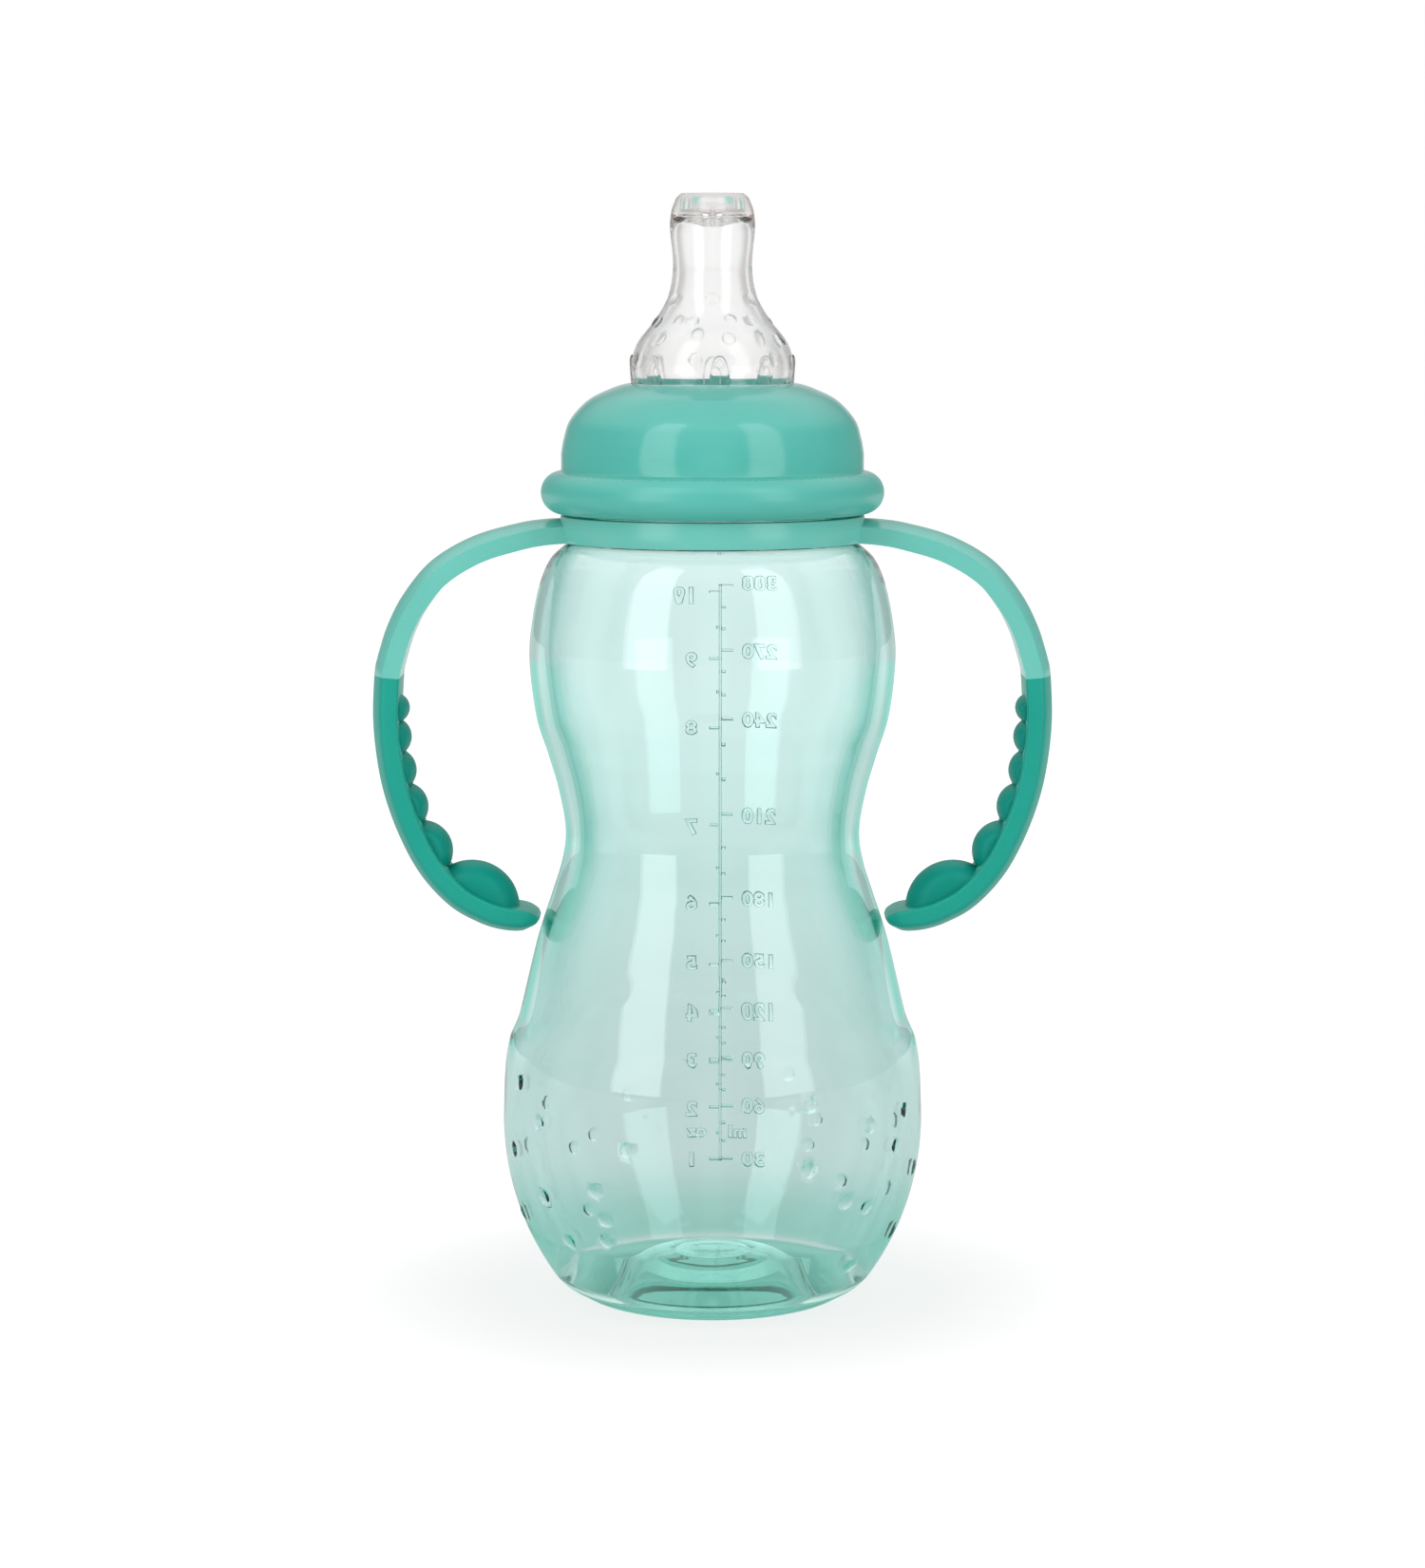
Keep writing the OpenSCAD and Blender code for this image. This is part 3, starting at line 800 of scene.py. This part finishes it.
# %% [markdown]
# ## The screw collar
# The collar is a glossy opaque moulding: a domed top with the teat hole, an upright seat, a groove, and a
# rounded bead at its foot. Its inside has a thread of its own, half a pitch above the neck's, and a roof
# that clamps the teat's flange. It could be a cylinder with bevelled edges, but one outline for outside
# and inside gives each curve its own size in a single spin.

# %% Collar
SEAT_R, SEAT_Z, SEAT_H = 25.9, 143.5, 3.0
HOLE_R = 14.0
BORE_R = NECK_R + THREAD_H + 0.25
ROOF_Z = RIM_Z + 1.85
COLLAR_TURNS = 1.5

bead_half = (SEAT_Z - COLLAR_Z) / 2
bead = arc((SEAT_R, COLLAR_Z + bead_half), (BEAD_R - SEAT_R, bead_half), -78, 84, 24)
dome = spline([
    (SEAT_R, SEAT_Z + SEAT_H), (SEAT_R - 0.5, 149.2), (SEAT_R - 1.6, 152.3), (21.2, 155.6), (17.2, 157.6),
    (HOLE_R + 0.5, COLLAR_TOP), (HOLE_R, COLLAR_TOP - 0.3),
], 8)
groove = [(SEAT_R + 0.15, SEAT_Z + 0.05), (SEAT_R, SEAT_Z + 0.3)]
collar_inside = [
    (HOLE_R, 156.4), (19.2, ROOF_Z + 0.2), (19.6, ROOF_Z), (NECK_R + 0.1, ROOF_Z),
    (NECK_R + 0.2, ROOF_Z - 0.1), (NECK_R + 0.2, RIM_Z - 1.2), (BORE_R, RIM_Z - 2.4),
    (BORE_R, COLLAR_Z + 0.5), (BORE_R + 0.5, COLLAR_Z),
]
collar_outline = bead + groove + dome + collar_inside + [bead[0]]
collar = as_object("collar_shell", turned(collar_outline, 160))
combine(collar, as_object("collar_thread", thread(BORE_R, THREAD_Z + THREAD_PITCH / 2, COLLAR_TURNS, -1)))


# %% [markdown]
# ## Glossy moulded plastic
# The collar, the ring and the arms are coloured right through. Their polish is good but not perfect: the
# colour and the gloss drift a little over the moulding, and a faint waviness softens the highlights. One
# flat colour with one gloss could stand for it, but it would look like a computer's plastic.

# %% Moulded finish
RIM_FADE = 0.8


def moulded_look(name, colour, deep, rough, shine=0.5, satin=0.0):
    """Coloured plastic between two close colours, with gloss that drifts; satin dulls its lower rim."""
    look = bpy.data.materials.new(name)
    g = tree_of(look)
    place = g.node("ShaderNodeTexCoord", {}, {}, "Object")
    drift = g.node("ShaderNodeTexNoise", {}, {"Vector": place, "Scale": 70.0, "Detail": 2.0})
    grain = g.node("ShaderNodeTexNoise", {}, {"Vector": place, "Scale": 1800.0, "Detail": 4.0})
    broad = g.node("ShaderNodeTexNoise", {}, {"Vector": place, "Scale": 110.0, "Detail": 1.0})
    bump = g.node("ShaderNodeBump", {}, {"Height": broad, "Strength": 1.0, "Distance": 0.00003})
    height = g.node("ShaderNodeSeparateXYZ", {}, {0: place}, "Z")
    rim = height.span((SEAT_Z + RIM_FADE) * MM, (SEAT_Z - RIM_FADE) * MM)
    surface = g.node("ShaderNodeBsdfPrincipled", {}, {
        "Base Color": drift.span(*NOISE_RANGE).blend(colour, deep), "IOR": 1.5, "Specular IOR Level": shine,
        "Roughness": rough * (0.75 + grain * 0.5) + satin * rim, "Normal": bump,
    })
    g.node("ShaderNodeOutputMaterial", {}, {"Surface": surface})
    return look


collar_look = moulded_look("collar_mint", rgb(90, 194, 181), rgb(86, 191, 177), rough=0.13, satin=0.16)
finish_piece(collar, "collar", ["screw_collar"], [collar_look])

# %% [markdown]
# ## The teat
# The teat is one piece of clear silicone: a flange under the collar, a cone through the hole, a dome, a
# stem and a bulb with a recessed flat tip. Round bumps circle the dome in four rows, and tongue-shaped
# ribs stiffen its foot. They lean out a little at the top, so that their feet stay clear of the collar's
# hole. All of it could be sculpted, but a turned skin with small solids joined to it keeps the wall's real
# thickness, which the light needs.
# Soft silicone is a little cloudy, so it absorbs a warm grey where it is thick.

# %% Teat
FLANGE_T = 1.8
TEAT_NECK_R = 13.7
DOME_R = 13.9
STEM_R, STEM_Z = 6.8, TIP_Z - 11.5
BULB_TIP_R = 7.25
TEAT_WALL = 1.0
RECESS_R, RECESS_DEPTH = 3.9, 3.0
FEED_R = 0.4
CAVITY_Z = TIP_Z - 3.7

teat_outside = spline([
    (19.2, RIM_Z + FLANGE_T), (16.8, 154.2), (TEAT_NECK_R, 156.7), (TEAT_NECK_R, 158.8), (DOME_R, 161.5),
    (12.8, 165.3), (9.7, 169.3), (7.6, 173.1), (STEM_R, 177), (STEM_R, STEM_Z + 1),
    (BULB_TIP_R, TIP_Z - 5.6), (BULB_TIP_R - 0.25, TIP_Z - 3), (6.6, TIP_Z - 1.7), (6.1, TIP_Z - 0.7),
    (5.3, TIP_Z),
], 7)
teat_inside = spline([
    (FEED_R, CAVITY_Z - 1.5), (1.6, CAVITY_Z - 1.4), (3.4, CAVITY_Z - 0.6), (4.6, CAVITY_Z),
    (BULB_TIP_R - TEAT_WALL - 0.5, CAVITY_Z - 0.8), (BULB_TIP_R - TEAT_WALL, CAVITY_Z - 2.9),
    (STEM_R - TEAT_WALL, STEM_Z - 0.5), (STEM_R - TEAT_WALL + 0.05, 176), (6.7, 172.4), (8.5, 169),
    (11.5, 164.8), (12.6, 161), (12.3, 157), (15.2, 153.4), (18, RIM_Z + 0.1), (18.8, FLANGE_Z),
], 7)
flange = [(FLANGE_R - 0.3, FLANGE_Z), (FLANGE_R, FLANGE_Z + 0.3), (FLANGE_R, RIM_Z + FLANGE_T - 0.3),
          (FLANGE_R - 0.3, RIM_Z + FLANGE_T)]
tip = [(RECESS_R + 0.3, TIP_Z), (RECESS_R, TIP_Z - 0.3), (RECESS_R, TIP_Z - RECESS_DEPTH),
       (FEED_R, TIP_Z - RECESS_DEPTH)]
teat_outline = teat_inside + flange + teat_outside + tip + [teat_inside[0]]
teat = as_object("teat_skin", turned(teat_outline, 128))

# %% Bumps and ribs of the teat
TEAT_BUMP_R, TEAT_BUMP_H = 1.15, 0.22
RIB_W, RIB_H, RIB_T = 3.6, 8.2, 1.05
RIB_OUT, RIB_Z = HOLE_R - 0.06, 159.2
RIB_RIM, RIB_LEAN = 0.6, 4
TEAT_ROWS = [(172.6, 0, 6), (169.0, -80, 6), (166.1, -47, 6), (162.6, -72, 6)]
RIB_ANGLES = (5, 40, 88, 133, 180, -133, -90, -46)
teat_r, teat_z = np.array([tuple(p) for p in teat_outside]).T


def teat_wall_r(angle, z):
    """Radius of the teat's outside at that height, which is the same at every angle."""
    return float(np.interp(z, teat_z, teat_r))


teat_bumps = bmesh.new()
for z, first, count in TEAT_ROWS:
    for i in range(count):
        lens(teat_bumps, first + i * 360 / count, z, TEAT_BUMP_R, TEAT_BUMP_H, teat_wall_r)
combine(teat, as_object("teat_bumps", teat_bumps))

for angle in RIB_ANGLES:
    rib = puffed(RIB_W / 2, RIB_RIM, RIB_T)
    lean = Matrix.Rotation(math.radians(RIB_LEAN), 4, "X")
    shape = lean @ Matrix.Diagonal((1, 1, RIB_H / RIB_W, 1))
    shape = Matrix.Translation((0, -RIB_OUT + RIB_T / 2, RIB_Z)) @ shape
    turn = Matrix.Rotation(math.radians(angle), 4, "Z") @ shape @ Matrix.Rotation(math.pi / 2, 4, "X")
    bmesh.ops.transform(rib, matrix=turn, verts=rib.verts)
    combine(teat, as_object("teat_rib", rib))

teat_look = clear_look(
    "clear_silicone", ior=1.41, tint=(0.83, 0.79, 0.775, 1), density=100.0, rough=0.09, wavy=0.00002,
)
finish_piece(teat, "teat", ["teat"], [teat_look])

# %% [markdown]
# ## The handles
# A handle is a wide band with flat sides and a crowned outer face. It grows out of the ring, arches over,
# and comes back to the bottle. A flat section is carried along the arch by extruding one face from place
# to place, and its long edges are then rounded. A bevelled curve could do it too, but it wouldn't let the
# crown and the nose change along the way. The upper half is hard plastic. It goes on as a core inside
# the soft grip, which is the same band with six round lobes added for the fingers.

# %% Path and section of the band
RING_R, RING_BORE = 26.1, 23.58
RING_Z, RING_H = SHOULDER_Z + 0.3, 4.5
BAND_D, BAND_T, BAND_CROWN = 13.0, 2.9, 1.8
SKIN = 0.9
ARM_STEPS = 10
GRIP_KNOT, CORE_KNOT = 9, 17
# How the nose rounds off: the square of its last share, its roundness, and how its depth follows
NOSE_LEFT, NOSE_POWER, NOSE_DEPTH = 0.004, 2.6, 0.35
# The crown's share at the ring, and what it gains over the first knots
CROWN_START, CROWN_GAIN = 0.62, 0.38
# Height that the nose closes on, as a share of the band's thickness, and how an inset flattens the crown
BAND_MIDDLE, CROWN_INSET = 0.35, 0.2
FOLD_ANGLE = 40

arm_path = spline([
    (RING_R - 1.4, RING_Z - 0.05), (28.6, 131.1), (32.6, 130.3), (39.3, 128.2), (45.2, 124.6),
    (49.2, 119.8), (51.5, 115.4), (52.7, 111.8), (53.2, 110), (53.5, 108.3), (53.8, 101.5), (53.3, 95.1),
    (52.1, 88.9), (49.8, 82.4), (46.7, 76.6), (42.6, 72.1), (38.6, 69.8), (35.6, 68.8), (32.6, 68.35),
    (30.95, 67.95), (29.5, 67.4),
], ARM_STEPS)
ARM_END = len(arm_path) - 1
NOSE = CROWN_RISE = 4 * ARM_STEPS


def nose(i):
    """Share of the full section left at station i: all of it along the arm, rounding off at the tip."""
    u = max(0, (i - (ARM_END - NOSE)) / NOSE)
    return math.sqrt(max(NOSE_LEFT, 1 - u**NOSE_POWER))


def crown(i):
    """Share of the full crown: less of it where the arm passes under the collar."""
    return min(1, CROWN_START + CROWN_GAIN * i / CROWN_RISE)


def band_section(i, t):
    """The band's section at station i, inset by t: places of (height over the inner face, depth)."""
    k = nose(i)
    d, centre = (BAND_D / 2 - t) * k**NOSE_DEPTH, BAND_MIDDLE * BAND_T
    low, high = centre + (t - centre) * k, centre + (BAND_T - t - centre) * k
    top = (BAND_CROWN - t * CROWN_INSET) * crown(i) * k
    across = [1 - s / 6 for s in range(13)]
    return [(low, -d), (low, d)] + [(high + top * (1 - s * s), d * s) for s in across]


def band(first, last, t, rounding):
    """The band between two stations as one closed solid, with its long edges rounded."""
    bm = bmesh.new()
    ring = None
    for i in range(first, last + 1):
        along = arm_path[min(i + 1, ARM_END)] - arm_path[max(i - 1, 0)]
        out = Vector((-along.y, along.x)).normalized()
        x, z = arm_path[i]
        places = [Vector((x + out.x * h, d, z + out.y * h)) for h, d in band_section(i, t)]
        if ring is None:
            ring = [bm.verts.new(p) for p in places]
            rim = list(bm.faces.new(ring).edges)
            continue
        grown = bmesh.ops.extrude_edge_only(bm, edges=rim)["geom"]
        rim = [g for g in grown if isinstance(g, bmesh.types.BMEdge)]
        ring = [next(e.other_vert(v) for e in v.link_edges if e.other_vert(v) in grown) for v in ring]
        for v, p in zip(ring, places):
            v.co = p
    bmesh.ops.contextual_create(bm, geom=rim)
    bmesh.ops.recalc_face_normals(bm, faces=bm.faces)
    creases = [
        e for e in bm.edges
        if max(len(f.verts) for f in e.link_faces) == 4 and e.calc_face_angle() > math.radians(FOLD_ANGLE)
    ]
    if rounding:
        bmesh.ops.bevel(bm, geom=creases, offset=rounding, offset_type="OFFSET", segments=4, profile=0.5,
                        affect="EDGES", material=-1, clamp_overlap=True)
    return bm


# %% Ring and arms
EDGE_ROUND, GRIP_ROUND = 0.35, 0.7
ring_outline = [
    (RING_BORE, RING_Z + 0.3), (RING_BORE + 0.3, RING_Z), (RING_R - 0.4, RING_Z),
    (RING_R - 0.1, RING_Z + 0.1), (RING_R, RING_Z + 0.4), (RING_R, RING_Z + RING_H - 0.4),
    (RING_R - 0.1, RING_Z + RING_H - 0.1), (RING_R - 0.4, RING_Z + RING_H),
    (RING_BORE + 0.3, RING_Z + RING_H), (RING_BORE, RING_Z + RING_H - 0.3), (RING_BORE, RING_Z + 0.3),
]
grip_i, core_i = GRIP_KNOT * ARM_STEPS, CORE_KNOT * ARM_STEPS
# The core starts this many stations inside the hard arm
CORE_OVERLAP = 3


def as_built(bm):
    """The shape as it is, on the right."""
    return bm


def mirrored(bm):
    """The same shape on the other side of the bottle."""
    bmesh.ops.scale(bm, vec=(-1, 1, 1), verts=bm.verts)
    bmesh.ops.recalc_face_normals(bm, faces=bm.faces)
    return bm


handles = as_object("handle_arms", turned(ring_outline, 160))
for change in (as_built, mirrored):
    arm = as_object("arm", change(band(0, grip_i, 0, EDGE_ROUND)))
    combine(arm, as_object("core", change(band(grip_i - CORE_OVERLAP, core_i, SKIN, 0))))
    combine(handles, arm)

handle_look = moulded_look("handle_mint", rgb(112, 206, 193), rgb(108, 203, 189), rough=0.22)
finish_piece(handles, "handles", ["handle_frame"], [handle_look])

# %% Grips
LOBE_D, LOBE_RIM = 9.6, 0.42
LOBES = [(54.7, 102.7, 2.5), (55.3, 97.7, 3.4), (54.9, 91.9, 3.8), (53.3, 85.6, 4.2), (50.2, 77.9, 5.3),
         (41.7, 68.0, 8.3)]
FINGER_LOW_Z, FINGER_HIGH_Z = 72, 108


def lobe(x, z, radius):
    """A round finger lobe that is puffed: nearly flat in front and behind, with a full round rim."""
    bm = puffed(radius, LOBE_RIM * radius, LOBE_D)
    lie = Matrix.Translation((x, 0, z)) @ Matrix.Rotation(math.pi / 2, 4, "X")
    bmesh.ops.transform(bm, matrix=lie, verts=bm.verts)
    for face in bm.faces:
        face.material_index = 1
    return bm


def finger_side():
    """A thick plate on the finger side of the band's middle, which keeps the lobes inside the band."""
    bm = bmesh.new()
    edge = inset(arm_path, BAND_T / 2)[grip_i:ARM_END - NOSE // 2]
    corners = [*edge, Vector((WAIST_R, FINGER_LOW_Z)), Vector((WAIST_R, FINGER_HIGH_Z))]
    plate = bm.faces.new([bm.verts.new((p.x, -BAND_D, p.y)) for p in corners])
    grown = bmesh.ops.extrude_face_region(bm, geom=[plate])["geom"]
    moved = [g for g in grown if isinstance(g, bmesh.types.BMVert)]
    bmesh.ops.translate(bm, vec=(0, 2 * BAND_D, 0), verts=moved)
    bmesh.ops.recalc_face_normals(bm, faces=bm.faces)
    return bm


def grip(name, change):
    """A soft grip: the band's lower half with its lobes, hollow round the hard core."""
    lobes = as_object("lobes", lobe(*LOBES[0]))
    for place in LOBES[1:]:
        combine(lobes, as_object("lobe", lobe(*place)))
    combine(lobes, as_object("finger_side", finger_side()), "INTERSECT")
    skin = as_object(name, band(grip_i, ARM_END, 0, GRIP_ROUND))
    combine(skin, lobes)
    combine(skin, as_object("core", band(grip_i - CORE_OVERLAP, core_i, SKIN, 0)), "DIFFERENCE")
    bm = bmesh.new()
    bm.from_mesh(skin.data)
    change(bm).to_mesh(skin.data)
    bm.free()
    return skin


# %% [markdown]
# ## Soft grip rubber
# The grips are a soft teal overmould. It is satin rather than glossy, with a fine grain, and it looks
# deeper in the solid lobes than on the thin skin over the light core. Light scattered inside the rubber
# could make that difference, but two finishes on one mesh show it at no cost.

# %% Grip finish
skin_look = moulded_look("grip_teal", rgb(22, 168, 150), rgb(16, 164, 146), rough=0.36, shine=0.3)
lobe_look = moulded_look("grip_teal_deep", rgb(0, 152, 137), rgb(0, 148, 133), rough=0.45, shine=0.2)
for name, node, change in (("right_grip_skin", "right_grip", as_built),
                           ("left_grip_skin", "left_grip", mirrored)):
    finish_piece(grip(name, change), "handles", [node], [skin_look, lobe_look])
